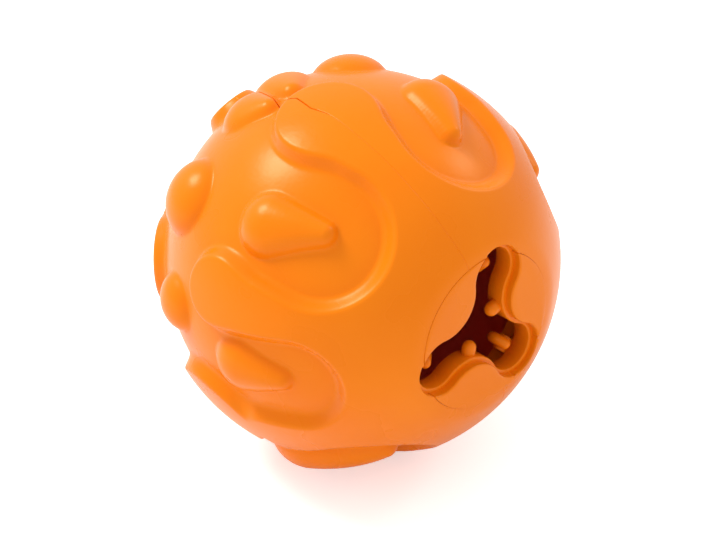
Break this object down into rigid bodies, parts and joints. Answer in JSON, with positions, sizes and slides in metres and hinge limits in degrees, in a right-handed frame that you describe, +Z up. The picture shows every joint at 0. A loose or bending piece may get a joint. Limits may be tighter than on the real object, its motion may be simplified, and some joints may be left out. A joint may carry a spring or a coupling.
{
  "type": "treat dispensing ball",
  "caption": "Hollow rubber pet ball with raised wavy relief and teardrop knobs; a lobed mouth with flexing fingers lets treats fall out as it rolls.",
  "frame": {"origin": "centre of the ball", "axes": "+Z up as the ball lies in use; the mouth looks along -Y"},
  "size_m": [0.0798, 0.0765, 0.0794],
  "materials": {
    "ball_rubber": "satin moulded orange rubber",
    "mouth_rubber": "satin moulded orange rubber"
  },
  "bodies": {
    "ball": {"shell_half_left": "ball_rubber", "shell_half_right": "ball_rubber", "mouth_insert": "mouth_rubber"},
    "finger_1": {"retaining_finger_1": "mouth_rubber"},
    "finger_2": {"retaining_finger_2": "mouth_rubber"},
    "finger_3": {"retaining_finger_3": "mouth_rubber"},
    "nub_1": {"web_nub_1": "mouth_rubber"},
    "nub_2": {"web_nub_2": "mouth_rubber"},
    "nub_3": {"web_nub_3": "mouth_rubber"}
  },
  "joints": [
    {"name": "finger_1_flex", "type": "hinge", "parent": "ball", "child": "finger_1", "pos_m": [0.00312, -0.02923, 0.01559], "axis": [0.9806, 0, -0.1959], "range_deg": [-15, 15], "stiffness_Nm_per_rad": 0.0012},
    {"name": "finger_2_flex", "type": "hinge", "parent": "ball", "child": "finger_2", "pos_m": [-0.01506, -0.02923, -0.0051], "axis": [-0.3206, 0, 0.9472], "range_deg": [-15, 15], "stiffness_Nm_per_rad": 0.0012},
    {"name": "finger_3_flex", "type": "hinge", "parent": "ball", "child": "finger_3", "pos_m": [0.01195, -0.02923, -0.01049], "axis": [-0.66, 0, -0.7513], "range_deg": [-15, 15], "stiffness_Nm_per_rad": 0.0012},
    {"name": "nub_1_flex", "type": "hinge", "parent": "ball", "child": "nub_1", "pos_m": [-0.00439, -0.03293, 0.00386], "axis": [-0.66, 0, -0.7513], "range_deg": [-15, 15], "stiffness_Nm_per_rad": 0.0078},
    {"name": "nub_2_flex", "type": "hinge", "parent": "ball", "child": "nub_2", "pos_m": [-0.00115, -0.03293, -0.00574], "axis": [0.9806, 0, -0.1959], "range_deg": [-15, 15], "stiffness_Nm_per_rad": 0.0078},
    {"name": "nub_3_flex", "type": "hinge", "parent": "ball", "child": "nub_3", "pos_m": [0.00554, -0.03293, 0.00188], "axis": [-0.3206, 0, 0.9472], "range_deg": [-15, 15], "stiffness_Nm_per_rad": 0.0078}
  ]
}
